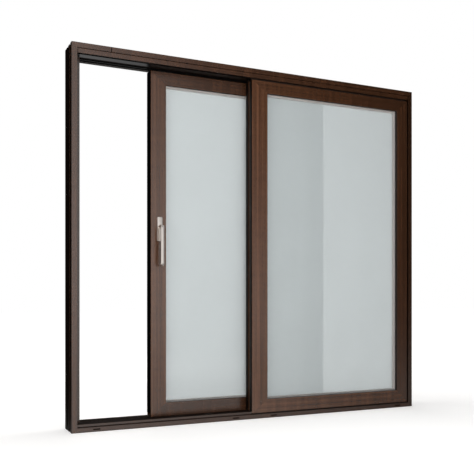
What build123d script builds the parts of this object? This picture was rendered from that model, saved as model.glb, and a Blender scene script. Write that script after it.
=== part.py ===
from build123d import *
import os

# Lift-and-slide terrace door: an aluminium frame with two tracks, a fixed sash on the
# front track at the right, and a sliding sash on the rear track that a lever lifts onto
# its roller carriages. Millimetres, +Z up, the front with the lever faces -Y, and the
# origin is the middle of the sill's underside. The sliding sash stands partly open.

os.makedirs("parts", exist_ok=True)

# Overall size of the door set
width = 2375
height = 2200
depth = 175

# Aluminium extrusions and the plastic bars between their front, middle and rear shells
wall = 2.5
frame_base = 20
front_shell = 36
front_break = 22
middle_shell = 38
rear_break = 18
break_inset = 9
break_bar = 8

# Legs of the frame, seen from the front as strips round the sashes
front_leg = 12
jamb_face = 32
sill_face = 27
head_face = 29
head_groove = 5
head_groove_depth = 8
head_drop = 59
head_joint_from_left = 228
head_joint = 2
head_joint_depth = 1.5
leg_from_front = 76
middle_leg = 13
jamb_lip = 62
sill_leg = 35
rear_leg = 5
trim_joint = 0.3
trim_foot = 11
trim_foot_height = 3
jamb_rear_face = 34
sill_rear_face = 45

# Guide channel under the head and track rail on the sill
channel_wall = 4
channel_foot = 7
channel_foot_height = 3
channel_width = 20
channel_rib = 14
rail_foot = 20
rail_foot_height = 3
rail_web = 6
rail_crown = 4.5
rail_top = 53

# Sashes: profile depth, widths of their sides, and rebate for the glass
sash_depth = 68
sash_shell = 20
soft_edge = 1.5
outer_break_inset = 4
outer_break_bar = 6
inner_break_bar = 5
rebate = 17
lip_depth = 16
gasket = 4
gasket_width = 7
gasket_inset = 1
bead = 22
bead_joint = 0.3
glass_cover = 13
pane = 6
cavity = 16
spacer_cover = 8
spacer_width = 18

fixed_setback = 4
fixed_side_gap = 7
fixed_top_gap = 10
fixed_bottom_gap = 8
fixed_width = 1207
fixed_outer_stile = 87
fixed_meeting_stile = 110
fixed_top_rail = 76
fixed_bottom_rail = 84
packing_setback = 14
packing_depth = 48
packing_end_gap = 3

sash_width = 1214
lock_stile = 97
sash_meeting_stile = 110
sash_top_rail = 78
sash_bottom_rail = 86.5
sash_lifted = 38
sash_head_gap = 11
closed_gap = 8.5
opened = 467
running_gap = 5

# Meeting stiles' hooks, brush seals, and the rubber strip on the lock stile's edge
seal = 3
seal_width = 7
hook_plate = 3
hook_web = 4
hook_reach = 36
hook_stand = 20
hook_blade = 4
sash_hook_plate = 60
sash_hook_reach = 34
sash_hook_stand = 17
hook_end_gap = 17
edge_seal_inset = 3
edge_seal_base = 2
edge_seal_lip = 1
edge_seal_lip_width = 4

# Covers that close the unused half of the front track
cover_gap = 1
sill_cover_top = 46
sill_cover_thickness = 5
cover_leg = 3
cover_leg_front = 20
cover_leg_rear = 64
head_cover_front = 26
head_cover_rear = 75
head_cover_thickness = 3

# Roller carriages, guide blocks and the stop on the track
groove = 28
carriage_fit = 0.3
carriage_length = 220
carriage_inset = 120
carriage_bottom_gap = 22
wheel_radius = 17
wheel_width = 12
wheel_spacing = 130
wheel_side_gap = 2
axle_radius = 4
lift = 7
wheel_gap = 0.3
housing_gap = 1
guide_fit = 2
guide_length = 80
guide_inset = 60
guide_height = 30
stop_from_right = 130
stop_length = 40
stop_height = 28
stop_width = 40

# Lever handle, its backplate and the flush pull on the rear
handle_from_edge = 55
handle_height = 1191
plate_width = 32
plate_above = 58
plate_below = 87
plate_thickness = 10
plate_corner = 5
plate_edge = 1.5
lever_width = 22
lever_thickness = 12
lever_reach = 50
lever_length = 221
lever_chamfer = 2.5
lever_bend = 8
lever_foot = 18
lever_foot_drop = 10
neck_radius = 11
neck_length = 20
neck_gap = 0.3
pull_width = 38
pull_height = 120
pull_corner = 12
pull_rim = 5
pull_rim_proud = 2
pull_wall = 2
pull_dish = 13
pull_fit = 0.3

# Drain slots in the sill and screw holes in the frame
slot_length = 42
slot_height = 8
slot_level = 15
slots_from_left = [143, 1016, 1282, 2251]
screw_radius = 4
screw_from_front = 24
jamb_screws = [200, 800, 1400, 2000]
head_screws = [-900, -300, 300, 900]

# Lines that the pieces share
left, right = -width / 2, width / 2
front = -depth / 2
middle_from_front = front_shell + front_break
rear_from_front = middle_from_front + middle_shell + rear_break
leg_back = leg_from_front + middle_leg
sash_from_front = leg_back + seal + running_gap
track_centre = sash_from_front + sash_depth / 2


def box(x0, x1, y0, y1, z0, z1):
    """A block between two corners; depths are counted from the door's front face."""
    size = (x1 - x0, y1 - y0, z1 - z0)
    return Pos((x0 + x1) / 2, front + (y0 + y1) / 2, (z0 + z1) / 2) * Box(*size)


def plate(points, y0, y1):
    """A flat plate with an outline in X and Z, between two depths."""
    back = Plane(origin=(0, front + y1, 0), x_dir=(1, 0, 0), z_dir=(0, -1, 0))
    return extrude(back * Polygon(*points, align=None), amount=y1 - y0, dir=(0, -1, 0))


class Opening:
    """An upright rectangle that four profiles are set round."""

    def __init__(self, x0, x1, z0, z1):
        self.x0, self.x1, self.z0, self.z1 = x0, x1, z0, z1

    def grown(self, by):
        return Opening(self.x0 - by, self.x1 + by, self.z0 - by, self.z1 + by)

    def solid(self, y0, y1):
        return box(self.x0, self.x1, y0, y1, self.z0, self.z1)

    def ring(self, outside, inside, y0, y1):
        return self.grown(outside).solid(y0, y1) - self.grown(inside).solid(y0, y1)

    def inner(self, widths):
        return Opening(self.x0 + widths["left"], self.x1 - widths["right"],
                       self.z0 + widths["bottom"], self.z1 - widths["top"])

    def run(self, side, y):
        """Plane across a side: its X points inwards, its Y back and its Z along."""
        corner, inwards, along = {
            "left": ((self.x0, self.z0), (1, 0, 0), (0, 0, 1)),
            "top": ((self.x0, self.z1), (0, 0, -1), (1, 0, 0)),
            "right": ((self.x1, self.z1), (-1, 0, 0), (0, 0, -1)),
            "bottom": ((self.x1, self.z0), (0, 0, 1), (-1, 0, 0)),
        }[side]
        return Plane(origin=(corner[0], front + y, corner[1]), x_dir=inwards, z_dir=along)

    def length(self, side):
        upright = side in ("left", "right")
        return self.z1 - self.z0 if upright else self.x1 - self.x0

    def extrusion(self, side, y, outline, chambers=()):
        """A straight length of one side, with its hollow chambers."""
        face = Polygon(*outline, align=None)
        for chamber in chambers:
            face -= Polygon(*chamber, align=None)
        across = self.run(side, y)
        return extrude(across * face, amount=self.length(side), dir=across.z_dir)

    def mitre(self, side, widths):
        """The wedge that a side keeps when its corners are cut from edge to edge."""
        hole = self.inner(widths)
        outer = {"left": [(self.x0, self.z0), (self.x0, self.z1)],
                 "top": [(self.x0, self.z1), (self.x1, self.z1)],
                 "right": [(self.x1, self.z1), (self.x1, self.z0)],
                 "bottom": [(self.x1, self.z0), (self.x0, self.z0)]}[side]
        inner = {"left": [(hole.x0, hole.z1), (hole.x0, hole.z0)],
                 "top": [(hole.x1, hole.z1), (hole.x0, hole.z1)],
                 "right": [(hole.x1, hole.z0), (hole.x1, hole.z1)],
                 "bottom": [(hole.x0, hole.z0), (hole.x1, hole.z0)]}[side]
        return plate(outer + inner, -depth, 2 * depth)


def rectangle(t0, t1, y0, y1):
    return [(t0, y0), (t1, y0), (t1, y1), (t0, y1)]


def base_chamber(y0, y1):
    return rectangle(wall, frame_base - wall, y0 + wall, y1 - wall)


def leg_chamber(t0, t1, y0, y1):
    return rectangle(t0, t1 - wall, y0 + wall, y1 - wall)


def front_profile(reach):
    """A hollow base with a hollow leg flush with the door's front."""
    outline = [(0, 0), (0, front_shell), (frame_base, front_shell), (frame_base, front_leg),
               (reach, front_leg), (reach, 0)]
    return outline, [base_chamber(0, front_shell), leg_chamber(frame_base, reach, 0, front_leg)]


def middle_profile(reach):
    """A hollow base with the hollow leg that carries the sliding sash's seal."""
    y0, y1 = middle_from_front, middle_from_front + middle_shell
    outline = [(0, y0), (0, y1), (frame_base, y1), (frame_base, leg_back), (reach, leg_back),
               (reach, leg_from_front), (frame_base, leg_from_front), (frame_base, y0)]
    return outline, [base_chamber(y0, y1),
                     leg_chamber(frame_base, reach, leg_from_front, leg_back)]


def rear_profile():
    """A hollow base alone: the legs at the door's rear are trims clipped on."""
    return rectangle(0, frame_base, rear_from_front, depth), [base_chamber(rear_from_front, depth)]


def head_front_profile():
    """The head's front shell: a groove runs along its leg, between two chambers."""
    groove_top, groove_foot = head_face, head_face + head_groove
    outline = [(0, 0), (0, front_shell), (frame_base, front_shell), (frame_base, front_leg),
               (head_drop, front_leg), (head_drop, 0), (groove_foot, 0),
               (groove_foot, head_groove_depth), (groove_top, head_groove_depth),
               (groove_top, 0)]
    return outline, [base_chamber(0, front_shell),
                     leg_chamber(frame_base, groove_top, 0, front_leg),
                     leg_chamber(groove_foot + wall, head_drop, 0, front_leg)]


def tube(x0, x1, y0, y1, z0, z1, along):
    """A rectangular tube between two corners, open at both ends of its length."""
    end = {"x": (0, wall), "z": (wall, 0)}[along]
    hollow = box(x0 + end[0], x1 - end[0], y0 + wall, y1 - wall, z0 + end[1], z1 - end[1])
    return box(x0, x1, y0, y1, z0, z1) - hollow


def save(node, shape):
    if isinstance(shape, (list, tuple)):
        shape = Compound(children=list(shape))
    shape.label = node
    export_step(shape, f"parts/{node}.step")


# Outer frame: the jambs run to the floor, and the head and sill are cut round their
# outlines, which are mitred at the top
frame = Opening(left, right, 0, height)
jambs = {"front": front_profile(jamb_face), "middle": middle_profile(jamb_lip),
         "rear": rear_profile()}
heads = {"front": head_front_profile(), "middle": middle_profile(head_drop),
         "rear": rear_profile()}
sills = {"front": front_profile(sill_face), "middle": middle_profile(sill_leg),
         "rear": rear_profile()}
corner = {"left": jamb_lip, "right": jamb_lip, "top": jamb_lip, "bottom": 0}
jamb_blanks = [frame.extrusion(side, 0, outline) & frame.mitre(side, corner)
               for side in ("left", "right") for outline, _ in jambs.values()]


def screw_holes(side):
    """Clearance holes through the base of a side, at its own fixing points."""
    if side == "top":
        spots = [((x, front + screw_from_front, height - frame_base / 2), (0, 0, 1))
                 for x in head_screws]
    else:
        middle = left + frame_base / 2 if side == "left" else right - frame_base / 2
        spots = [((middle, front + screw_from_front, z), (1, 0, 0)) for z in jamb_screws]
    return [Plane(origin=spot, z_dir=axis) * Cylinder(screw_radius, 2 * frame_base)
            for spot, axis in spots]


def jamb(side, shell_name):
    outline, chambers = jambs[shell_name]
    piece = frame.extrusion(side, 0, outline, chambers) & frame.mitre(side, corner)
    if shell_name == "front":
        piece -= screw_holes(side)
    return piece


def head(shell_name):
    outline, chambers = heads[shell_name]
    piece = frame.extrusion("top", 0, outline, chambers) - jamb_blanks
    if shell_name == "front":
        joint = left + head_joint_from_left
        piece -= box(joint, joint + head_joint, 0, head_joint_depth, height - head_face, height)
        for x in (left + jamb_face, right - jamb_face - head_groove):
            piece -= box(x, x + head_groove, 0, head_groove_depth,
                         height - head_drop, height - head_face)
        piece -= screw_holes("top")
    return piece


def sill(shell_name):
    outline, chambers = sills[shell_name]
    piece = frame.extrusion("bottom", 0, outline, chambers) - jamb_blanks
    if shell_name == "front":
        for place in slots_from_left:
            x = left + place
            piece -= box(x - slot_length / 2, x + slot_length / 2, -wall, 2 * wall,
                         slot_level - slot_height / 2, slot_level + slot_height / 2)
    return piece


save("jamb_left_front", jamb("left", "front"))
save("jamb_right_front", jamb("right", "front"))
for name in ("middle", "rear"):
    save(f"jambs_{name}", [jamb(side, name) for side in ("left", "right")])
for name in ("front", "middle", "rear"):
    save(f"head_{name}", head(name))
    save(f"sill_{name}", sill(name))

bar_end = break_inset + break_bar
save("frame_breaks", [
    frame.ring(-break_inset, -bar_end, front_shell, middle_from_front),
    frame.ring(-break_inset, -bar_end, rear_from_front - rear_break, rear_from_front)])


# Trims clipped on the rear shells, which stand round the sliding sash at the rear
def trim_profile(reach):
    foot, leg = depth - trim_foot, depth - rear_leg
    return [(frame_base, foot), (frame_base, depth), (reach, depth), (reach, leg),
            (frame_base + trim_foot_height, leg), (frame_base + trim_foot_height, foot)]


def rear_trims():
    """The uprights run from sill to head, and the other two fit between them."""
    uprights = frame.grown(-frame_base).solid(0, depth)
    between = box(left + jamb_rear_face + trim_joint, right - jamb_rear_face - trim_joint,
                  0, depth, 0, height)
    reach = {"left": (jamb_rear_face, uprights), "right": (jamb_rear_face, uprights),
             "top": (head_drop, between), "bottom": (sill_rear_face, between)}
    return [frame.extrusion(side, 0, trim_profile(face)) & space
            for side, (face, space) in reach.items()]


save("rear_trims", rear_trims())


# Guide channel clipped under the head's rear shell: a wall with a foot, and a hollow rib
def guide_channel():
    x0, x1 = left + frame_base, right - frame_base
    z0, z1 = height - head_drop, height - frame_base
    inner = track_centre - channel_width / 2
    outer = track_centre + channel_width / 2
    front_wall = box(x0, x1, inner - channel_wall, inner, z0, z1)
    front_wall += box(x0, x1, inner - channel_foot, inner, z1 - channel_foot_height, z1)
    return [front_wall, tube(x0, x1, outer, outer + channel_rib, z0, z1, "x")]


save("guide_channel", guide_channel())


# Track rail: a foot on the sill's rear shell, a web and a rounded crown for the wheels
def track_rail():
    foot = rectangle(frame_base, frame_base + rail_foot_height,
                     track_centre - rail_foot / 2, track_centre + rail_foot / 2)
    web = rectangle(frame_base, rail_top - rail_crown,
                    track_centre - rail_web / 2, track_centre + rail_web / 2)
    face = Polygon(*foot, align=None) + Polygon(*web, align=None)
    face += Pos(rail_top - rail_crown, track_centre) * Circle(rail_crown)
    across = frame.run("bottom", 0)
    rail = extrude(across * face, amount=width, dir=across.z_dir)
    return rail - jamb_blanks


save("track_rail", track_rail())

# Fixed sash
fixed = Opening(right - jamb_face - fixed_side_gap - fixed_width,
                right - jamb_face - fixed_side_gap,
                sill_face + fixed_bottom_gap, height - head_drop - fixed_top_gap)
fixed_widths = {"left": fixed_meeting_stile, "right": fixed_outer_stile,
                "top": fixed_top_rail, "bottom": fixed_bottom_rail}

# Sliding sash, lifted, as far open as it stands
sash_left = left + frame_base + closed_gap + opened
sash = Opening(sash_left, sash_left + sash_width, sash_lifted,
               height - head_drop - sash_head_gap)
sash_widths = {"left": lock_stile, "right": sash_meeting_stile,
               "top": sash_top_rail, "bottom": sash_bottom_rail}


def sash_side(opening, widths, side, y):
    """One mitred side: a front shell with soft edges and the glazing lip, and a rear shell."""
    w = widths[side]
    step = w - rebate
    back = sash_depth - sash_shell
    seat = w - bead
    shells = [
        ([(0, soft_edge), (soft_edge, 0), (w - soft_edge, 0), (w, soft_edge), (w, lip_depth),
          (step, lip_depth), (step, sash_shell), (0, sash_shell)],
         [[(wall, wall), (w - wall, wall), (w - wall, lip_depth - wall),
           (step - wall, lip_depth - wall), (step - wall, sash_shell - wall),
           (wall, sash_shell - wall)]]),
        ([(0, back), (step, back), (step, back + gasket), (seat, back + gasket),
          (seat, sash_depth), (0, sash_depth)],
         [rectangle(wall, seat - wall, back + wall, sash_depth - wall)])]
    return [opening.extrusion(side, y, outline, chambers) & opening.mitre(side, widths)
            for outline, chambers in shells]


def break_rings(opening, widths, y):
    """The plastic bars between a sash's shells: one near its edge, one at the rebate."""
    y0, y1 = y + sash_shell, y + sash_depth - sash_shell
    edge = outer_break_inset + outer_break_bar
    inner = opening.inner(widths)
    return [opening.ring(-outer_break_inset, -edge, y0, y1),
            inner.ring(rebate + inner_break_bar, rebate, y0, y1)]


def glazing(opening, widths, y):
    """Two panes, the spacer between them, the gaskets and the beads at the rear."""
    hole = opening.inner(widths)
    front_pane = y + lip_depth + gasket
    rear_pane = front_pane + pane + cavity
    back = rear_pane + pane
    panes = [hole.grown(glass_cover).solid(front_pane, front_pane + pane),
             hole.grown(glass_cover).solid(rear_pane, back)]
    spacer = hole.ring(spacer_cover, spacer_cover - spacer_width,
                       front_pane + pane, rear_pane)
    gaskets = [hole.ring(gasket_inset + gasket_width, gasket_inset, front_pane - gasket,
                         front_pane),
               hole.ring(gasket_inset + gasket_width, gasket_inset, back, back + gasket)]
    return panes, spacer, gaskets, bead_bars(hole.grown(bead), back + gasket, y + sash_depth)


def bead_bars(around, y0, y1):
    """Four hollow beads: the uprights run full height, and the others fit between them."""
    x0, x1 = around.x0 + bead + bead_joint, around.x1 - bead - bead_joint
    return [tube(around.x0, around.x0 + bead, y0, y1, around.z0, around.z1, "z"),
            tube(around.x1 - bead, around.x1, y0, y1, around.z0, around.z1, "z"),
            tube(x0, x1, y0, y1, around.z0, around.z0 + bead, "x"),
            tube(x0, x1, y0, y1, around.z1 - bead, around.z1, "x")]


names = {"left": "fixed_meeting_stile", "right": "fixed_outer_stile",
         "top": "fixed_top_rail", "bottom": "fixed_bottom_rail"}
for side, node in names.items():
    save(node, sash_side(fixed, fixed_widths, side, fixed_setback))
save("fixed_breaks", break_rings(fixed, fixed_widths, fixed_setback))
panes, spacer, gaskets, beads = glazing(fixed, fixed_widths, fixed_setback)
save("fixed_glass", panes)
save("fixed_spacer", spacer)
save("fixed_gaskets", gaskets)
save("fixed_beads", beads)


# Packing profiles carry the fixed sash in the frame
def packing():
    y0 = fixed_setback + packing_setback
    y1 = y0 + packing_depth
    x1 = fixed.x1 - packing_end_gap
    return [tube(fixed.x0, x1, y0, y1, fixed.z1, height - frame_base, "x"),
            tube(fixed.x0, x1, y0, y1, frame_base, fixed.z0, "x"),
            tube(fixed.x1, right - frame_base, y0, y1, fixed.z0, fixed.z1, "z")]


save("fixed_packing", packing())


# Covers over the front track beside the fixed sash
def cover(parts):
    """Pieces of a cover's profile as (y0, y1, z0, z1), run from the jamb to the fixed sash."""
    blocks = [box(left + frame_base, fixed.x0 - cover_gap, *part) for part in parts]
    return sum(blocks[1:], blocks[0]) - jamb_blanks


def sill_cover():
    under = sill_cover_top - sill_cover_thickness
    back = leg_back + seal
    lip = fixed_setback + cover_leg
    legs = [(start, start + cover_leg, frame_base, under)
            for start in (cover_leg_front, cover_leg_rear)]
    return cover([(fixed_setback, back, under, sill_cover_top),
                  (fixed_setback, lip, fixed.z0, sill_cover_top),
                  (leg_from_front, leg_back, sill_leg, under)] + legs)


def head_cover():
    level = height - head_drop
    legs = [(start, start + cover_leg, level, height - frame_base)
            for start in (head_cover_front, head_cover_rear - cover_leg)]
    return cover([(head_cover_front, head_cover_rear, level, level + head_cover_thickness)]
                 + legs)


save("sill_cover", sill_cover())
save("head_cover", head_cover())

# Sliding sash: its sides, with a groove along the underside for carriages and rail
groove_top = sash.z0 + sash_bottom_rail - rebate - inner_break_bar
under_groove = box(sash.x0, sash.x1, track_centre - groove / 2,
                   track_centre + groove / 2, sash.z0, groove_top)
names = {"left": "lock_stile", "right": "sliding_meeting_stile",
         "top": "sliding_top_rail", "bottom": "sliding_bottom_rail"}
handle_x = sash.x0 + handle_from_edge
rear_face = Plane(origin=(handle_x, front + sash_from_front + sash_depth, handle_height),
                  x_dir=(-1, 0, 0), z_dir=(0, 1, 0))


def pull_outline(inset):
    """The flush pull's rounded outline, drawn in from its rim."""
    return RectangleRounded(pull_width - 2 * inset, pull_height - 2 * inset,
                            pull_corner - inset)


pull_hole = extrude(rear_face.offset(-pull_dish - pull_fit) * pull_outline(pull_rim - pull_fit),
                    amount=pull_dish + pull_fit)
for side, node in names.items():
    shells = sash_side(sash, sash_widths, side, sash_from_front)
    save(node, [piece - pull_hole for piece in shells] if side == "left" else shells)
save("sliding_breaks", [ring - under_groove
                        for ring in break_rings(sash, sash_widths, sash_from_front)])
panes, spacer, gaskets, beads = glazing(sash, sash_widths, sash_from_front)
save("sliding_glass", panes)
save("sliding_spacer", spacer)
save("sliding_beads", beads)


def edge_seal():
    """A rubber strip down the lock stile's edge, with three lips that close on the jamb."""
    y0, y1 = sash_from_front + edge_seal_inset, sash_from_front + sash_depth - edge_seal_inset
    z0 = rail_top + lift + running_gap
    face = sash.x0 - edge_seal_base
    strip = box(face, sash.x0, y0, y1, z0, sash.z1)
    for y in (y0, (y0 + y1 - edge_seal_lip_width) / 2, y1 - edge_seal_lip_width):
        strip += box(face - edge_seal_lip, face, y, y + edge_seal_lip_width, z0, sash.z1)
    return strip


save("sliding_gaskets", gaskets + [edge_seal()])


# Hooks on the meeting stiles, which engage when the sash is shut
def fixed_hook():
    y = fixed_setback + sash_depth
    outline = [(fixed.x0, y), (fixed.x0 + hook_reach, y),
               (fixed.x0 + hook_reach, y + hook_plate), (fixed.x0 + hook_web, y + hook_plate),
               (fixed.x0 + hook_web, y + hook_stand - hook_blade),
               (fixed.x0 + hook_reach, y + hook_stand - hook_blade),
               (fixed.x0 + hook_reach, y + hook_stand), (fixed.x0, y + hook_stand)]
    return upright(outline, fixed.z0, fixed.z1)


def sash_hook():
    y = sash_from_front
    x = sash.x1 - wall
    web = x - sash_hook_plate
    tip = web - sash_hook_reach + hook_web
    outline = [(x, y), (x, y - hook_plate), (web + hook_web, y - hook_plate),
               (web + hook_web, y - sash_hook_stand), (tip, y - sash_hook_stand),
               (tip, y - sash_hook_stand + hook_plate), (web, y - sash_hook_stand + hook_plate),
               (web, y)]
    return upright(outline, sash.z0 + hook_end_gap, sash.z1 - hook_end_gap)


def upright(outline, z0, z1):
    """A straight upright with an outline in X and depth, between two levels."""
    face = Polygon(*[(x, front + y) for x, y in outline], align=None)
    return extrude(Pos(0, 0, z0) * face, amount=z1 - z0, dir=(0, 0, 1))


save("fixed_hook", fixed_hook())
save("sliding_hook", sash_hook())


# Brush seals on the frame's middle leg, facing the sliding sash
def brush_seals():
    y0, y1 = leg_back, leg_back + seal
    x0, x1 = left + jamb_lip, right - jamb_lip
    top = height - head_drop
    return [box(x0 - seal_width, x0, y0, y1, sill_cover_top, top),
            box(x0, x1, y0, y1, top, top + seal_width),
            box(x0, x1, y0, y1, sill_leg - seal_width, sill_leg)]


save("brush_seals", brush_seals())


# Guide blocks that stand on the bar between the top rail's shells and run in the channel
def guide_blocks():
    half = channel_width / 2 - guide_fit
    return [box(x, x + guide_length, track_centre - half, track_centre + half,
                sash.z1 - outer_break_inset, sash.z1 + guide_height)
            for x in (sash.x0 + guide_inset, sash.x1 - guide_inset - guide_length)]


save("guide_blocks", guide_blocks())


# Roller carriages in the groove: a housing open below and two wheels on the rail
def carriage(x0):
    x1 = x0 + carriage_length
    half = groove / 2 - carriage_fit
    bay = wheel_width / 2 + wheel_side_gap
    top = groove_top - lift - housing_gap
    housing = box(x0, x1, track_centre - half, track_centre + half,
                  sash.z0 + carriage_bottom_gap, top)
    housing -= box(x0 + wall, x1 - wall, track_centre - bay, track_centre + bay, 0, top - wall)
    housing -= box(x0, x1, track_centre - bay, track_centre + bay, 0, rail_top + running_gap)
    for side in (-1, 1):
        x = (x0 + x1 + side * wheel_spacing) / 2
        centre = Plane(origin=(x, front + track_centre, rail_top + wheel_gap + wheel_radius),
                       z_dir=(0, 1, 0))
        housing += centre * Cylinder(axle_radius, 2 * half)
        housing += centre * Cylinder(wheel_radius, wheel_width)
    return housing


save("carriage_left", carriage(sash.x0 + carriage_inset))
save("carriage_right", carriage(sash.x1 - carriage_inset - carriage_length))


# Stop at the end of the track, where the carriage's travel ends
def track_stop():
    x = right - stop_from_right
    y0, y1 = track_centre - stop_width / 2, track_centre + stop_width / 2
    block = box(x, x + stop_length, y0, y1, frame_base, sash.z0 + stop_height)
    slot = box(x, x + stop_length, track_centre - rail_foot / 2, track_centre + rail_foot / 2,
               frame_base, rail_top)
    return block - slot


save("track_stop", track_stop())

# Handle: backplate on the lock stile, and the lever that turns on it
plate_front = sash_from_front - plate_thickness


def backplate():
    body = box(handle_x - plate_width / 2, handle_x + plate_width / 2, plate_front,
               sash_from_front, handle_height - plate_below, handle_height + plate_above)
    body = fillet(body.edges().filter_by(Axis.Y), plate_corner)
    return chamfer(body.faces().sort_by(Axis.Y)[0].edges(), plate_edge)


def lever():
    """A round neck, and a flat grip swept out from it, down and back to a foot."""
    start = front + plate_front - neck_gap
    root = start - neck_length / 2
    out = start - lever_reach + lever_thickness / 2
    low = handle_height - lever_length
    path = FilletPolyline((handle_x, root, handle_height), (handle_x, out, handle_height),
                          (handle_x, out, low),
                          (handle_x, out + lever_foot, low - lever_foot_drop),
                          radius=lever_bend)
    bar = Rectangle(lever_width, lever_thickness)
    section = Plane(origin=path @ 0, x_dir=(1, 0, 0), z_dir=path % 0)
    grip = sweep(section * chamfer(bar.vertices(), lever_chamfer), path=path)
    axis = Plane(origin=(handle_x, start, handle_height), z_dir=(0, -1, 0))
    return grip + axis * Cylinder(neck_radius, neck_length,
                                  align=(Align.CENTER, Align.CENTER, Align.MIN))


save("handle_plate", backplate())
save("handle_lever", lever())


# Flush pull let into the rear of the lock stile: a rim and a dish for the fingers
def flush_pull():
    rim = extrude(rear_face * pull_outline(0), amount=pull_rim_proud)
    dish = extrude(rear_face.offset(-pull_dish) * pull_outline(pull_rim), amount=pull_dish)
    inside = pull_dish - pull_wall
    hollow = extrude(rear_face.offset(-inside) * pull_outline(pull_rim + pull_wall),
                     amount=inside + pull_rim_proud)
    return rim + dish - hollow


save("flush_pull", flush_pull())
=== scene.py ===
import math

import bpy
import numpy as np
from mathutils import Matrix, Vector


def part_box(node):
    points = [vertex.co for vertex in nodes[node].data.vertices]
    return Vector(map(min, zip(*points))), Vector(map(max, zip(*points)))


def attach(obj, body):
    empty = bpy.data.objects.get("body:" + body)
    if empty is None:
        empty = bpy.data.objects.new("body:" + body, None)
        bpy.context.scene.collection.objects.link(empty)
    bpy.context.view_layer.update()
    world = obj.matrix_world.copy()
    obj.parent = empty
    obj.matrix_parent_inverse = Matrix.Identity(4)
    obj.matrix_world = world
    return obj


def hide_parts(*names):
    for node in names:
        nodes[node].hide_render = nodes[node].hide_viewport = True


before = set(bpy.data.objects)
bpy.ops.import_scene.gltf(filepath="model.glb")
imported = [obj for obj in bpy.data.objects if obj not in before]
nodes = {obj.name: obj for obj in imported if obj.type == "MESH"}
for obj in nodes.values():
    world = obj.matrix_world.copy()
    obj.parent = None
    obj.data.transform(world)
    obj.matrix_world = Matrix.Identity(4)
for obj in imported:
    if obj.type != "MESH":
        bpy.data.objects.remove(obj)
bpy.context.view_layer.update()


# Jambs, head and sill of the outer frame
# Hollow aluminium profiles, powder coated in brown and heated under a printed film, so that
# the ink of a walnut grain sinks in: satin, with straight streaks along each profile. Faces
# that turn into the frame show the plain base coat, matt, set near black and with their
# reflection tinted black, as painted shade. The print's colour differs from piece to piece,
# and is also scaled down, as painted shade, on the pieces and ends that lie in less light.
MM = 0.001


def linear(hex_colour):
    """sRGB hex to linear: each channel above 0.04045 is ((c + 0.055) / 1.055) to the 2.4."""
    channels = [int(hex_colour[i:i + 2], 16) / 255 for i in (1, 3, 5)]
    return [c / 12.92 if c <= 0.04045 else ((c + 0.055) / 1.055) ** 2.4
            for c in channels] + [1.0]


def add(owner, kind, sockets=None, stops=(), **settings):
    """Adds a shader node to a material or world and gives back its outputs. Each socket
    takes a value or another node's output, and stops are a colour ramp's, as (position,
    linear colour)."""
    node = owner.node_tree.nodes.new("ShaderNode" + kind)
    for name, value in settings.items():
        setattr(node, name, value)
    for name, value in (sockets or {}).items():
        if isinstance(value, bpy.types.NodeSocket):
            owner.node_tree.links.new(value, node.inputs[name])
        else:
            node.inputs[name].default_value = value
    for number, (position, colour) in enumerate(stops):
        if number == len(node.color_ramp.elements):
            node.color_ramp.elements.new(position)
        node.color_ramp.elements[number].position = position
        node.color_ramp.elements[number].color = colour
    return node.outputs


def empty_material(name):
    material = bpy.data.materials.new(name)
    material.use_nodes = True
    material.node_tree.nodes.clear()
    return material


RAIL, STILE = 0.0, 1.0
FRONT, BOTH, REAR = -1, 0, 1
# The last colour is the plain base coat, set near black as painted shade on the faces that
# turn away from the front.
DARK_INK, INK, PALE_INK, BASE_COAT_AND_SHADE = "#38210F", "#523320", "#6E4830", "#140D09"
INK_AT = (0.32, 0.5, 0.68)
PORE_SHADE, PORE_AT = "#BCBCBC", (0.30, 0.42)
# The print's four layers. Each has its patches' size across, through and along the grain
# in mm, their detail, and how far the layer is moved on the film. The pores are three times
# as wide as on the real film, so that they show.
LAYERS = {"growth bands": ((18, 18, 2400), 3.0, 0), "streaks": ((3.5, 3.5, 700), 5.0, 5),
          "pores": ((0.9, 0.9, 16), 1.0, 9), "clouds": ((500, 500, 45), 2.0, 13)}
FILM_WAY = (1.0, 1.7, 0.6)
STREAK_SHARE, CLOUD_ON_STILES, CLOUD_ON_RAILS = 0.45, 0.08, 0.3
PRINTED_FROM = 0.5
SATIN, MATT = (0.23, 0.29), 0.8
SEAM_HALF = 2.5 * MM


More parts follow.
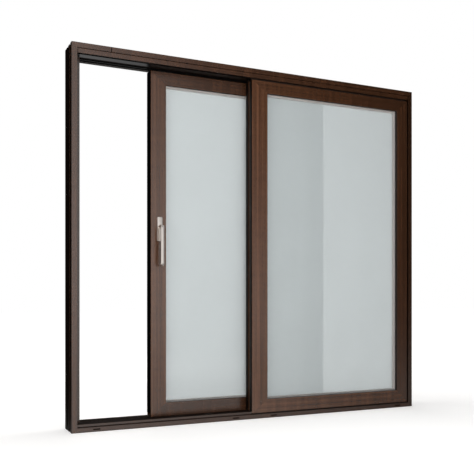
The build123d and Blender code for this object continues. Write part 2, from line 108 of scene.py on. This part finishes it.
def walnut(name, shift, tone_and_shade, ends, upright, faces=BOTH, ring=None, seam=None):
    """Walnut decor. The grain runs along the object's Z on a stile and along its X on a
    rail. With ring, as a middle and a half width in x, what lies farther out is a stile.
    The print's colour is scaled evenly from the first of the two given levels at x = ends[0]
    to the second at x = ends[1]: partly its own difference from piece to piece, and partly
    painted shade, lower where a piece lies in less light. The film covers the faces named,
    where their normal's y is at least PRINTED_FROM; the others get the base coat, near black
    and with their reflection tinted black, as painted shade. A seam, as its x and its lower
    end, is a dark butt joint. Shift picks the stretch of film."""
    material = empty_material(name)
    place = add(material, "TexCoord")
    at = add(material, "SeparateXYZ", {"Vector": place["Object"]})
    cloud_share = CLOUD_ON_STILES if upright == STILE and not ring else CLOUD_ON_RAILS
    if ring:
        apart = add(material, "Math", {0: at["X"], 1: ring[0]}, operation="SUBTRACT")
        apart = add(material, "Math", {0: apart["Value"]}, operation="ABSOLUTE")
        upright = add(material, "Math", {0: apart["Value"], 1: ring[1]},
                      operation="GREATER_THAN")["Value"]
    across = add(material, "Mix", {0: upright, 2: at["Z"], 3: at["X"]})[0]
    along = add(material, "Mix", {0: upright, 2: at["X"], 3: at["Z"]})[0]
    spot = add(material, "CombineXYZ", {"X": across, "Y": at["Y"], "Z": along})["Vector"]
    layers = []
    for patch, detail, moved in LAYERS.values():
        stretched = add(material, "Mapping", {
            "Vector": spot, "Scale": [1 / (size * MM) for size in patch],
            "Location": [way * (shift + moved) for way in FILM_WAY]})
        layers.append(add(material, "TexNoise", {
            "Vector": stretched["Vector"], "Scale": 1.0, "Detail": detail,
            "Roughness": 0.6})["Fac"])
    growth, streaks, pores, cloud = layers
    figure = add(material, "Mix", {0: STREAK_SHARE, 2: growth, 3: streaks})[0]
    figure = add(material, "Mix", {0: cloud_share, 2: figure, 3: cloud})[0]
    inks = add(material, "ValToRGB", {"Fac": figure},
               zip(INK_AT, map(linear, (DARK_INK, INK, PALE_INK))))
    open_pores = add(material, "ValToRGB", {"Fac": pores},
                     zip(PORE_AT, map(linear, (PORE_SHADE, "#FFFFFF"))))
    inked = add(material, "Mix", {0: 1.0, 6: inks["Color"], 7: open_pores["Color"]},
                data_type="RGBA", blend_type="MULTIPLY")[2]
    # The print's colour is scaled along x: partly its own difference from piece to piece, and
    # partly painted shade, lower where the piece lies in less light.
    tone_and_shade_drift = add(material, "MapRange", {
        "Value": at["X"], "From Min": ends[0], "From Max": ends[1], "To Min": tone_and_shade[0],
        "To Max": tone_and_shade[1]})
    toned_and_shaded = add(material, "VectorMath", {0: inked, "Scale": tone_and_shade_drift["Result"]},
                operation="SCALE")["Vector"]
    # Painted shade: faces that turn away from the front get the base coat, near black and
    # matt. The mask also takes in the seam's dark joint.
    facing = add(material, "SeparateXYZ", {"Vector": place["Normal"]})
    facing = add(material, "Math", {0: facing["Y"], 1: faces},
                 operation="ABSOLUTE" if faces == BOTH else "MULTIPLY")["Value"]
    bare_and_shaded = add(material, "Math", {0: facing, 1: PRINTED_FROM},
               operation="LESS_THAN")["Value"]
    if seam:
        cut = add(material, "Math", {0: at["X"], 1: seam[0], 2: SEAM_HALF},
                  operation="COMPARE")
        above = add(material, "Math", {0: at["Z"], 1: seam[1]}, operation="GREATER_THAN")
        cut = add(material, "Math", {0: cut["Value"], 1: above["Value"]},
                  operation="MULTIPLY")
        bare_and_shaded = add(material, "Math", {0: bare_and_shaded, 1: cut["Value"]}, operation="MAXIMUM")["Value"]
    colour = add(material, "Mix", {0: bare_and_shaded, 6: toned_and_shaded, 7: linear(BASE_COAT_AND_SHADE)},
                 data_type="RGBA")[2]
    satin = add(material, "MapRange", {"Value": figure, "To Min": SATIN[0],
                                       "To Max": SATIN[1]})
    rough = add(material, "Mix", {0: bare_and_shaded, 2: satin["Result"], 3: MATT})[0]
    # Painted shade: on the base-coat faces the reflection is tinted black.
    tint = add(material, "Mix", {0: bare_and_shaded, 6: linear("#FFFFFF"), 7: linear("#000000")},
               data_type="RGBA")[2]
    relief = add(material, "Bump", {"Height": pores, "Strength": 0.15, "Distance": 0.1 * MM})
    shader = add(material, "BsdfPrincipled", {
        "Base Color": colour, "Roughness": rough, "Normal": relief["Normal"],
        "Specular IOR Level": 1.0, "Specular Tint": tint})
    add(material, "OutputMaterial", {"Surface": shader["BSDF"]})
    return material


def dress(material, *names):
    """Gives CAD nodes a material in their own slots."""
    for name in names:
        for slot in nodes[name].material_slots:
            slot.material = material


FILM_STEP = 3.1
RING_FILM, RING_TONE = 40.0, 0.8


def print_profiles(upright, rows, seam=None):
    """Dresses profiles in the decor. A row is the piece, the number of its stretch of film,
    the faces it covers, and the level of the print's colour at its left and right end: partly
    its own difference from piece to piece, and partly painted shade, lower where the piece
    lies in less light."""
    for name, number, faces, left, right in rows:
        lo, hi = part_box(name)
        dress(walnut("walnut_decor_" + name, FILM_STEP * number, (left, right),
                     (lo.x, hi.x), upright, faces, seam=seam), name)


def print_ring(name, strip, faces):
    """Dresses a piece that runs round an opening, with uprights as wide as the strip."""
    lo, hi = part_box(name)
    ring = ((lo.x + hi.x) / 2, (hi.x - lo.x) / 2 - strip)
    dress(walnut("walnut_decor_" + name, RING_FILM, (RING_TONE, RING_TONE), (lo.x, hi.x),
                 STILE, faces, ring), name)


HEAD_SEAM, TRIM_STRIP = (-959 * MM, 2168.5 * MM), 14 * MM
# The last two numbers of a row scale the print's colour at the piece's left and right end:
# partly its own difference from piece to piece, and partly painted shade where less light
# falls, as on the right jamb, the right ends and the recessed lip.
print_profiles(STILE, [
    ("jamb_left_front", 0, FRONT, 0.62, 0.62), ("jamb_right_front", 1, FRONT, 0.38, 0.38),
    ("jambs_middle", 2, BOTH, 0.28, 0.28), ("jambs_rear", 3, REAR, 0.6, 0.6)])
print_profiles(RAIL, [("head_front", 0, FRONT, 0.65, 0.55)], HEAD_SEAM)
print_profiles(RAIL, [
    ("head_middle", 1, BOTH, 0.5, 0.5), ("head_rear", 2, REAR, 0.5, 0.5),
    ("sill_front", 3, FRONT, 0.54, 0.48), ("sill_middle", 4, BOTH, 0.42, 0.42),
    ("sill_rear", 5, REAR, 0.42, 0.42), ("sill_cover", 7, BOTH, 0.42, 0.42)])
print_ring("rear_trims", TRIM_STRIP, REAR)


# Insulating bars of the frame and both sashes
# Polyamide 66 with a quarter of glass fibre, extruded and rolled into the metal shells.
# Matt black, with a faint grey mottle where fibres lie at the surface.
def mottled(name, dark, light, grain_mm, roughness, metallic=0.0, specular=0.5):
    """A colour that wanders between two tones over grain_mm, with a fine relief."""
    material = empty_material(name)
    place = add(material, "TexCoord")
    patches = add(material, "TexNoise", {
        "Vector": place["Object"], "Scale": 1 / (grain_mm * MM), "Detail": 4.0,
        "Roughness": 0.6})["Fac"]
    colour = add(material, "ValToRGB", {"Fac": patches},
                 [(0.35, linear(dark)), (0.65, linear(light))])
    relief = add(material, "Bump", {"Height": patches, "Strength": 0.2,
                                    "Distance": 0.2 * MM})
    shader = add(material, "BsdfPrincipled", {
        "Base Color": colour["Color"], "Roughness": roughness, "Metallic": metallic,
        "Specular IOR Level": specular, "Normal": relief["Normal"]})
    add(material, "OutputMaterial", {"Surface": shader["BSDF"]})
    return material


dress(mottled("glass_fibre_polyamide", "#121212", "#20201F", 1.2, 0.6, specular=0.3),
      "frame_breaks", "fixed_breaks", "sliding_breaks")

# Cover and guide channel under the head
# Extruded aluminium clipped under the head, plain powder coat without the print: nearly
# black, and smooth enough to show the light behind the doorway at a flat angle.
dress(mottled("dark_powder_coat", "#0B0A0A", "#0F0E0D", 2.5, 0.3, specular=0.35),
      "head_cover", "guide_channel")

# Track rail and packing profiles
# Extruded aluminium, anodised in dark bronze: a near black with a satin gloss. The rail is
# screwed to the sill, and the packing holds the fixed sash in the frame.
dress(mottled("bronze_anodised_aluminium", "#1E1814", "#2A221D", 1.5, 0.5, specular=0.3),
      "track_rail", "fixed_packing")

# Track stop and guide blocks
# Moulded polyacetal, screwed to the end of the track and on top of the sliding sash: black
# and slightly waxy.
dress(mottled("moulded_polyacetal", "#101010", "#1A1A1A", 1.0, 0.45), "guide_blocks",
      "track_stop")

# Brush seals in the frame
# Polypropylene pile woven into a backing strip and pushed into the profiles' grooves: dark,
# and giving back little light.
dress(mottled("dark_polypropylene_pile", "#0F0F10", "#262525", 0.6, 0.9, specular=0.1),
      "brush_seals")


# Brush under the head
# A strip of grey pile in a stiff base, clipped under the rib of the guide channel. It
# closes the slit over the sliding sash, and its tips lie uneven by half a millimetre.
FOLD = math.radians(35)


def grid_piece(name, verts, rings, around):
    """A closed object from rings of points, with quads between them and flat ends. Edges
    that fold by more than FOLD stay crisp."""
    ring, step = np.meshgrid(np.arange(rings - 1), np.arange(around), indexing="ij")
    here, after = ring * around + step, ring * around + (step + 1) % around
    quads = np.stack([here, after, after + around, here + around], axis=-1).reshape(-1, 4)
    faces = quads.tolist() + [list(range(around))[::-1],
                              list(range((rings - 1) * around, rings * around))]
    mesh = bpy.data.meshes.new(name)
    mesh.from_pydata(verts.tolist(), [], faces)
    mesh.shade_smooth()
    mesh.set_sharp_from_angle(angle=FOLD)
    piece = bpy.data.objects.new(name, mesh)
    bpy.context.scene.collection.objects.link(piece)
    return piece


def brush_strip(name, x0, x1, front, top, outline, steps):
    """The outline (y, z) of base and pile carried along x. Its lowest points, the tips, lie
    at z + ripple(x) with ripple(x) = 0.25 mm * (sin(900 x) + sin(2330 x))."""
    x = np.linspace(x0, x1, steps)
    ripple = 0.25 * MM * (np.sin(900 * x) + np.sin(2330 * x))
    tips = outline[:, 1] == outline[:, 1].min()
    shape = (steps, len(outline))
    verts = np.stack([np.broadcast_to(x[:, None], shape),
                      np.broadcast_to(front + outline[:, 0], shape),
                      top + outline[:, 1] + ripple[:, None] * tips], axis=-1)
    return grid_piece(name, verts.reshape(-1, 3), *shape)


BRUSH_BASE, BRUSH_WIDTH, BRUSH_DEPTH = 2.5 * MM, 6 * MM, 9.4 * MM
PILE_ROOT, PILE_TIP = (1.4 * MM, 4.6 * MM), (2.4 * MM, 3.6 * MM)
BRUSH_FROM_REAR, BRUSH_END_GAP, BRUSH_STEPS = 7 * MM, 2 * MM, 1200
brush_outline = np.array([
    (0, 0), (0, -BRUSH_BASE), (PILE_ROOT[0], -BRUSH_BASE), (PILE_TIP[0], -BRUSH_DEPTH),
    (PILE_TIP[1], -BRUSH_DEPTH), (PILE_ROOT[1], -BRUSH_BASE), (BRUSH_WIDTH, -BRUSH_BASE),
    (BRUSH_WIDTH, 0)])
lo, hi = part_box("guide_channel")
head_brush = brush_strip("head_brush", lo.x + BRUSH_END_GAP, hi.x - BRUSH_END_GAP,
                         hi.y - BRUSH_FROM_REAR, lo.z, brush_outline, BRUSH_STEPS)
head_brush.data.materials.append(mottled("grey_polypropylene_pile", "#3E3C3B", "#4E4C4A",
                                         0.6, 0.9, specular=0.1))
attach(head_brush, "frame")

# Fixed sash
# The same printed profiles, mitred and cleated at the corners, with clip-in glazing beads
# round the glass and a hook along the meeting stile. It stands screwed into the frame.
# Beside the print's own difference from piece to piece, the outer stile and the right ends of
# the rails are set darker as painted shade, where less light falls.
print_profiles(STILE, [
    ("fixed_meeting_stile", 4, BOTH, 1.12, 1.12), ("fixed_outer_stile", 5, BOTH, 0.58, 0.58),
    ("fixed_hook", 8, BOTH, 0.6, 0.6)])
print_profiles(RAIL, [
    ("fixed_top_rail", 8, BOTH, 1.06, 0.48), ("fixed_bottom_rail", 9, BOTH, 0.98, 0.74)])
SASH_STRIP = 22 * MM
print_ring("fixed_beads", SASH_STRIP, BOTH)

# Roller carriages
# Folded steel housings with turned steel wheels, zinc plated: dull silver with a spangle.
# They stand on the rail and carry the sliding sash.
dress(mottled("zinc_plated_steel", "#8E9192", "#B4B6B5", 3.0, 0.45, metallic=1.0),
      "carriage_left", "carriage_right")

# Sliding sash
# The same printed profiles again, mitred and cleated, with glazing beads and the other half
# of the hooks. The lock stile at its left takes the handle.
# Beside the print's own difference from piece to piece, the rails are set darker than the
# lock stile as painted shade, where the head and the sill shade them.
print_profiles(STILE, [
    ("lock_stile", 6, BOTH, 0.87, 0.87), ("sliding_meeting_stile", 7, BOTH, 0.8, 0.8),
    ("sliding_hook", 9, BOTH, 0.6, 0.6)])
print_profiles(RAIL, [
    ("sliding_top_rail", 10, BOTH, 0.56, 0.56),
    ("sliding_bottom_rail", 11, BOTH, 0.60, 0.60)])
print_ring("sliding_beads", SASH_STRIP, BOTH)

# Spacer bars between the panes
# Pale grey composite bars, glued between the panes of each sash. Their inner faces show as a
# thin light ring round the glass.
dress(mottled("spacer_bar", "#AFA6A2", "#BEB5B0", 2.0, 0.6), "fixed_spacer",
      "sliding_spacer")

# Gaskets
# Black EPDM rubber: strips pushed in beside the panes, and a lipped strip on the lock
# stile's edge. Matt, and giving back almost no light.
dress(mottled("epdm_rubber", "#040404", "#0B0B0B", 2.0, 0.8, specular=0.0),
      "fixed_gaskets", "sliding_gaskets")


# Glass
# Two 6 mm float panes in each sash, their edges ground to a small arris. The front one is
# faintly etched and gives no sharp reflection. The rear one is laminated with a milky film,
# which lets only a little of the room through.
def carried(name, middle, size, radius, profile, corner_steps):
    """A profile of (inset, depth) points carried round an upright rounded rectangle. With
    C the centre of the corner's arc and D the way out from it, each point lies at
    C + (radius - inset) * D in x and z, and at the middle's y plus its depth. The first
    and last rings are closed with flat faces."""
    turn = np.linspace(0, np.pi / 2, corner_steps)
    angle = (np.arange(4)[:, None] * np.pi / 2 + turn).ravel()
    way_out = np.column_stack([np.cos(angle), np.sin(angle)])
    corner = np.repeat([[1, 1], [-1, 1], [-1, -1], [1, -1]], corner_steps, axis=0)
    centre = corner * (np.array(size) / 2 - radius)
    inset, depth = np.array(profile).T
    flat = centre + (radius - inset)[:, None, None] * way_out
    verts = np.stack([middle[0] + flat[..., 0],
                      np.broadcast_to(middle[1] + depth[:, None], flat.shape[:2]),
                      middle[2] + flat[..., 1]], axis=-1).reshape(-1, 3)
    return grid_piece(name, verts, len(inset), len(angle))


def finish_piece(piece, material, body, node):
    """Gives a new piece its material, the body it rides on and the node it replaces."""
    piece.data.materials.append(material)
    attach(piece, body)
    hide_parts(node)


def glass(name, colour, alpha, roughness):
    """Glass whose tint wanders faintly over 300 mm, as the film between the sheets does."""
    material = empty_material(name)
    place = add(material, "TexCoord")
    ripple = add(material, "TexNoise", {
        "Vector": place["Object"], "Scale": 1 / (300 * MM), "Detail": 0.0,
        "Roughness": 0.6})["Fac"]
    tint = linear(colour)
    paler = [min(1.0, c * 1.02) for c in tint[:3]] + [1.0]
    film = add(material, "ValToRGB", {"Fac": ripple}, [(0.3, tint), (0.7, paler)])
    shader = add(material, "BsdfPrincipled", {
        "Base Color": film["Color"], "Alpha": alpha, "Roughness": roughness, "IOR": 1.52})
    add(material, "OutputMaterial", {"Surface": shader["BSDF"]})
    return material


PANE, ARRIS, PANE_CORNER = 6 * MM, 0.8 * MM, 1.5 * MM
PANE_CORNER_STEPS = 3
etched = glass("etched_float_glass", "#E4ECEB", 0.10, 0.35)
opal = glass("opal_laminated_glass", "#D2D9DB", 0.66, 0.5)
pane_profile = [(ARRIS, PANE), (0, PANE - ARRIS), (0, ARRIS), (ARRIS, 0)]
for node, body, prefix in (("fixed_glass", "frame", "fixed"),
                           ("sliding_glass", "sliding_sash", "sliding")):
    lo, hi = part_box(node)
    for name, front, material in ((prefix + "_pane_front", lo.y, etched),
                                  (prefix + "_pane_rear", hi.y - PANE, opal)):
        pane = carried(name, ((lo.x + hi.x) / 2, front, (lo.z + hi.z) / 2),
                       (hi.x - lo.x, hi.z - lo.z), PANE_CORNER, pane_profile,
                       PANE_CORNER_STEPS)
        finish_piece(pane, material, body, node)


# Backplate of the handle
# Pressed aluminium, anodised in a warm satin silver, and clipped over two screws. Its
# silver is set paler than the lever's as a painted highlight, for the brighter reflection
# it shows. Its rolled edge catches a line of light.
def rolled_edge(radius, steps):
    """Points of a quarter circle as (inset, height): radius * (1 - cos a) and
    radius * (sin a - 1), so that the last one lies at height 0."""
    a = np.linspace(0, np.pi / 2, steps)
    return np.column_stack([radius * (1 - np.cos(a)), radius * (np.sin(a) - 1)])


lo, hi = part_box("handle_plate")
PLATE_CORNER, PLATE_EDGE = 5 * MM, 2 * MM
PLATE_CORNER_STEPS, PLATE_EDGE_STEPS = 7, 6
inset, height = rolled_edge(PLATE_EDGE, PLATE_EDGE_STEPS).T
plate_profile = [(0, 0)] + list(zip(inset, lo.y - hi.y - height))
plate = carried("handle_backplate", ((lo.x + hi.x) / 2, hi.y, (lo.z + hi.z) / 2),
                (hi.x - lo.x, hi.z - lo.z), PLATE_CORNER, plate_profile, PLATE_CORNER_STEPS)
# Painted highlight: the plate's silver is set paler than the lever's, for the brighter
# reflection it shows.
silver_with_painted_highlight = mottled("satin_anodised_with_painted_highlight", "#F4EBE3", "#FDF5EE", 0.8, 0.3, metallic=1.0)
finish_piece(plate, silver_with_painted_highlight, "sliding_sash", "handle_plate")


# Lever
# Forged aluminium, ground smooth and anodised in a warm satin silver. A neck comes out of
# the plate, turns down into a flat grip and ends in a short foot bent back to the door.
def lever_path(reach, drop, bend, foot_turn, foot, steps):
    """The grip's middle line as (y, z, direction). Its direction swings from straight out
    to straight down along an arc, and from there by foot_turn along a second arc, and
    the place is that direction summed up along the line."""
    arcs = (bend * math.pi / 2, bend * foot_turn)
    runs = (reach - bend, arcs[0], drop - bend, arcs[1], foot)
    ends = np.cumsum(runs)
    s = np.linspace(0, ends[-1], steps)
    direction = np.interp(s, np.concatenate([[0], ends]),
                          np.array([0, 0, math.pi / 2, math.pi / 2,
                                    math.pi / 2 + foot_turn, math.pi / 2 + foot_turn]))
    step = np.diff(s, prepend=0)
    return (-np.cumsum(step * np.cos(direction)), -np.cumsum(step * np.sin(direction)),
            direction)


def lever_grip(name, start, width, thickness, path, around, tip_steps, tip_shrink):
    """A superellipse of power 4, |a|^4 + |b|^4 = 1, carried along the lever's line, with a
    across in x and b across the line. Over the last tip_steps it shrinks along a quarter
    circle, by the share tip_shrink."""
    y, z, direction = path
    t = np.linspace(0, 2 * np.pi, around, endpoint=False)
    a = np.sign(np.cos(t)) * np.sqrt(np.abs(np.cos(t))) * width / 2
    b = np.sign(np.sin(t)) * np.sqrt(np.abs(np.sin(t))) * thickness / 2
    left = np.clip((np.arange(len(y))[::-1] + 1) / tip_steps, 0, 1)
    shrink = 1 - tip_shrink * (1 - np.sqrt(1 - (1 - left) ** 2))
    normal_y, normal_z = np.sin(direction), -np.cos(direction)
    verts = np.stack([
        start[0] + shrink[:, None] * a,
        start[1] + y[:, None] + (shrink * normal_y)[:, None] * b,
        start[2] + z[:, None] + (shrink * normal_z)[:, None] * b], axis=-1)
    return grid_piece(name, verts.reshape(-1, 3), len(y), around)


def turned(name, centre, profile, around):
    """A turned piece about an axis along y: profile points (radius, depth) on a circle."""
    radius, depth = np.array(profile).T
    t = np.linspace(0, 2 * np.pi, around, endpoint=False)
    verts = np.stack([centre[0] + radius[:, None] * np.cos(t),
                      np.broadcast_to(centre[1] + depth[:, None], (len(radius), around)),
                      centre[2] + radius[:, None] * np.sin(t)], axis=-1)
    return grid_piece(name, verts.reshape(-1, 3), len(radius), around)


GRIP_THICKNESS, NECK, LEVER_BEND = 12 * MM, 11 * MM, 8 * MM
FOOT, FOOT_TURN, FOOT_ROOM = 13 * MM, math.radians(61), 10 * MM
LEVER_STEPS, GRIP_AROUND, TIP_STEPS, TIP_SHRINK = 120, 48, 6, 0.35
NECK_PROFILE = [(NECK, 0), (NECK, -14 * MM), (0.92 * NECK, -17 * MM), (0.6 * NECK, -20 * MM)]
NECK_AROUND = 40
satin_silver = mottled("satin_silver_anodised", "#E2D9D1", "#ECE4DD", 0.8, 0.3, metallic=1.0)
lo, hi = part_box("handle_lever")
middle, root, axis_height = (lo.x + hi.x) / 2, hi.y - NECK, hi.z - NECK
reach = root - lo.y - GRIP_THICKNESS / 2
drop = axis_height - lo.z - GRIP_THICKNESS / 2 - FOOT_ROOM
grip = lever_grip("lever_grip", (middle, root, axis_height), hi.x - lo.x, GRIP_THICKNESS,
                  lever_path(reach, drop, LEVER_BEND, FOOT_TURN, FOOT, LEVER_STEPS),
                  GRIP_AROUND, TIP_STEPS, TIP_SHRINK)
finish_piece(grip, satin_silver, "handle", "handle_lever")
neck = turned("lever_neck", (middle, hi.y, axis_height), NECK_PROFILE, NECK_AROUND)
finish_piece(neck, satin_silver, "handle", "handle_lever")

# Flush pull on the rear
# A pressed aluminium dish, anodised like the lever and let into the lock stile. A rounded
# rim stands 2 mm proud, and the fingers pull on the wall of the dish.
RIM, RIM_PROUD, RIM_EDGE, RIM_EDGE_STEPS = 5 * MM, 2 * MM, 1.2 * MM, 5
PULL_WALL, PULL_CORNER, PULL_CORNER_STEPS = 2 * MM, 12 * MM, 9
lo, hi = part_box("flush_pull")
dish = hi.y - lo.y - RIM_PROUD
inset, height = rolled_edge(RIM_EDGE, RIM_EDGE_STEPS).T
rim_out = [(x, RIM_PROUD + h) for x, h in zip(inset, height)]
rim_in = [(RIM + PULL_WALL - x, RIM_PROUD + h) for x, h in zip(inset[::-1], height[::-1])]
pull_profile = ([(RIM, -dish), (RIM, 0), (0, 0)] + rim_out + rim_in
                + [(RIM + PULL_WALL, PULL_WALL - dish)])
pull = carried("flush_pull_dish", ((lo.x + hi.x) / 2, hi.y - RIM_PROUD, (lo.z + hi.z) / 2),
               (hi.x - lo.x, hi.z - lo.z), PULL_CORNER, pull_profile, PULL_CORNER_STEPS)
finish_piece(pull, satin_silver, "sliding_sash", "flush_pull")


# Studio
# A pale floor, a white surround and soft lamps, none of them part of the door. The lamps
# give no reflections of their own: satin faces, metal and glass show the surround, the
# floor, a graded card in front and black cards behind and at the left.
def softbox(name, place, aim, size, power):
    """A soft rectangular lamp that no picture and no reflection shows."""
    lamp = bpy.data.lights.new(name, "AREA")
    lamp.shape = "RECTANGLE"
    lamp.size, lamp.size_y = size
    lamp.energy = power
    holder = bpy.data.objects.new(name, lamp)
    holder.location = place
    holder.rotation_euler = (Vector(aim) - Vector(place)).to_track_quat("-Z", "Y").to_euler()
    holder.visible_camera = False
    holder.visible_glossy = False
    bpy.context.scene.collection.objects.link(holder)


softbox("front_left", (-2.6, -4.6, 1.4), (-0.4, 0, 1.1), (1.8, 2.4), 28)
softbox("front_middle", (-0.4, -4.8, 1.4), (0, 0, 1.1), (1.8, 2.4), 86)
softbox("front_right", (2.0, -4.6, 1.4), (0.4, 0, 1.1), (1.8, 2.4), 20)
softbox("high_left", (-2.2, -3.8, 3.9), (-0.3, 0, 1.2), (2.0, 1.6), 42)
softbox("side_left", (-4.6, -2.4, 1.6), (0, 0, 1.1), (2.2, 2.2), 52)
softbox("top", (0.0, 0.35, 4.6), (0, 0.35, 1.0), (3.6, 1.4), 110)
softbox("back", (0.4, 4.0, 2.4), (0, 0, 1.1), (3.0, 2.4), 55)


def to_the_eye(owner):
    """1 for the rays that show a thing to the camera, straight or in metal or glass."""
    ray = add(owner, "LightPath")
    seen = add(owner, "Math", {0: ray["Is Camera Ray"], 1: ray["Is Glossy Ray"]},
               operation="MAXIMUM")
    return add(owner, "Math", {0: seen["Value"], 1: ray["Is Transmission Ray"]},
               operation="MAXIMUM")["Value"]


# The surround is white to the eye, and lights the door by AMBIENT alone.
AMBIENT = 0.02
world = bpy.data.worlds.new("studio")
bpy.context.scene.world = world
world.use_nodes = True
world.node_tree.nodes.clear()
strength = add(world, "MapRange", {"Value": to_the_eye(world), "To Min": AMBIENT,
                                   "To Max": 1.0})
surround = add(world, "Background", {"Color": linear("#FFFFFF"),
                                     "Strength": strength["Result"]})
add(world, "OutputWorld", {"Surface": surround["Background"]})


def sheet_of(name, corners, material):
    """A flat four-cornered sheet of the studio."""
    mesh = bpy.data.meshes.new(name)
    mesh.from_pydata(corners, [], [(0, 1, 2, 3)])
    mesh.materials.append(material)
    sheet = bpy.data.objects.new(name, mesh)
    bpy.context.scene.collection.objects.link(sheet)
    return sheet


# The floor's paint glows to the eye, more so away from the door, and to a lower level in
# reflections, which fall off to the right and rise towards the rear.
FLOOR, PAINT, PAINT_REFLECTED = 30.0, "#E2E0DE", "#A5A4A2"
paint = empty_material("pale_floor_paint")
place = add(paint, "TexCoord")
apart = add(paint, "VectorMath", {0: place["Object"]}, operation="LENGTH")
to_camera = add(paint, "MapRange", {"Value": apart["Value"], "From Min": 1.5,
                                    "From Max": 5.0, "To Min": 0.48, "To Max": 1.0})
slope = add(paint, "VectorMath", {0: place["Object"], 1: (1.0, -0.25, 0.0)},
            operation="DOT_PRODUCT")
to_gloss = add(paint, "MapRange", {"Value": slope["Value"], "From Min": -1.2,
                                   "From Max": 1.3, "To Min": 0.6, "To Max": 0.04})
ray = add(paint, "LightPath")
shown = add(paint, "Mix", {0: ray["Is Glossy Ray"], 6: linear(PAINT),
                           7: linear(PAINT_REFLECTED)}, data_type="RGBA")[2]
matt = add(paint, "BsdfDiffuse", {"Color": shown})
level = add(paint, "Mix", {0: ray["Is Glossy Ray"], 2: to_camera["Result"],
                           3: to_gloss["Result"]})[0]
strength = add(paint, "Math", {0: to_the_eye(paint), 1: level}, operation="MULTIPLY")
glow = add(paint, "Emission", {"Color": linear("#FFFFFF"), "Strength": strength["Value"]})
both = add(paint, "AddShader", {0: matt["BSDF"], 1: glow["Emission"]})
add(paint, "OutputMaterial", {"Surface": both["Shader"]})
sheet_of("floor", [(-FLOOR, -FLOOR, 0), (FLOOR, -FLOOR, 0), (FLOOR, FLOOR, 0),
                   (-FLOOR, FLOOR, 0)], paint)

# The cards are seen in reflections alone. The front one is white at the lower left and
# fades to nothing towards the upper right.
card = empty_material("graded_card")
place = add(card, "TexCoord")
slope = add(card, "VectorMath", {0: place["Object"], 1: (1.0, 0.0, 0.63)},
            operation="DOT_PRODUCT")
fade = add(card, "MapRange", {"Value": slope["Value"], "From Min": 1.9, "From Max": 4.2,
                              "To Min": 1.0, "To Max": 0.0})
glow = add(card, "Emission", {"Color": linear("#FFFFFF"), "Strength": fade["Result"]})
add(card, "OutputMaterial", {"Surface": glow["Emission"]})
black = empty_material("black_card")
shade = add(black, "BsdfDiffuse", {"Color": linear("#000000")})
add(black, "OutputMaterial", {"Surface": shade["BSDF"]})
cards = {
    "front_card": (card, [(-10, -4.7, 0), (14, -4.7, 0), (14, -4.7, 10), (-10, -4.7, 10)]),
    "rear_card": (black, [(-3.2, 3, 0), (-1.3, 3, 0), (-1.3, 3, 9), (-3.2, 3, 9)]),
    "low_card": (black, [(-1.3, 1.2, 0), (2.5, 1.2, 0), (2.5, 1.2, 1), (-1.3, 1.2, 1)]),
    "left_card": (black, [(-3.2, -3.4, 0), (-3.2, 3, 0), (-3.2, 3, 9), (-3.2, -3.4, 9)]),
    "under_card": (black, [(-3.2, 0, 0.01), (-1.25, 0, 0.01), (-1.25, 3, 0.01),
                           (-3.2, 3, 0.01)])}
for name, (material, corners) in cards.items():
    sheet = sheet_of(name, corners, material)
    sheet.visible_camera = sheet.visible_diffuse = sheet.visible_shadow = False
    sheet.visible_transmission = False

# The camera stands level, at the left, with its picture shifted up, so that the uprights
# stay upright.
camera_data = bpy.data.cameras.new("camera")
camera_data.sensor_width = 36.0
camera_data.lens = 54.27
camera_data.shift_y = 0.1251
camera = bpy.data.objects.new("camera", camera_data)
camera.location = (-2.0445, -4.1035, 0.770)
camera.rotation_euler = (math.radians(90), 0, math.radians(-25.08))
bpy.context.scene.collection.objects.link(camera)
bpy.context.scene.camera = camera
bpy.context.scene.view_settings.view_transform = "Standard"
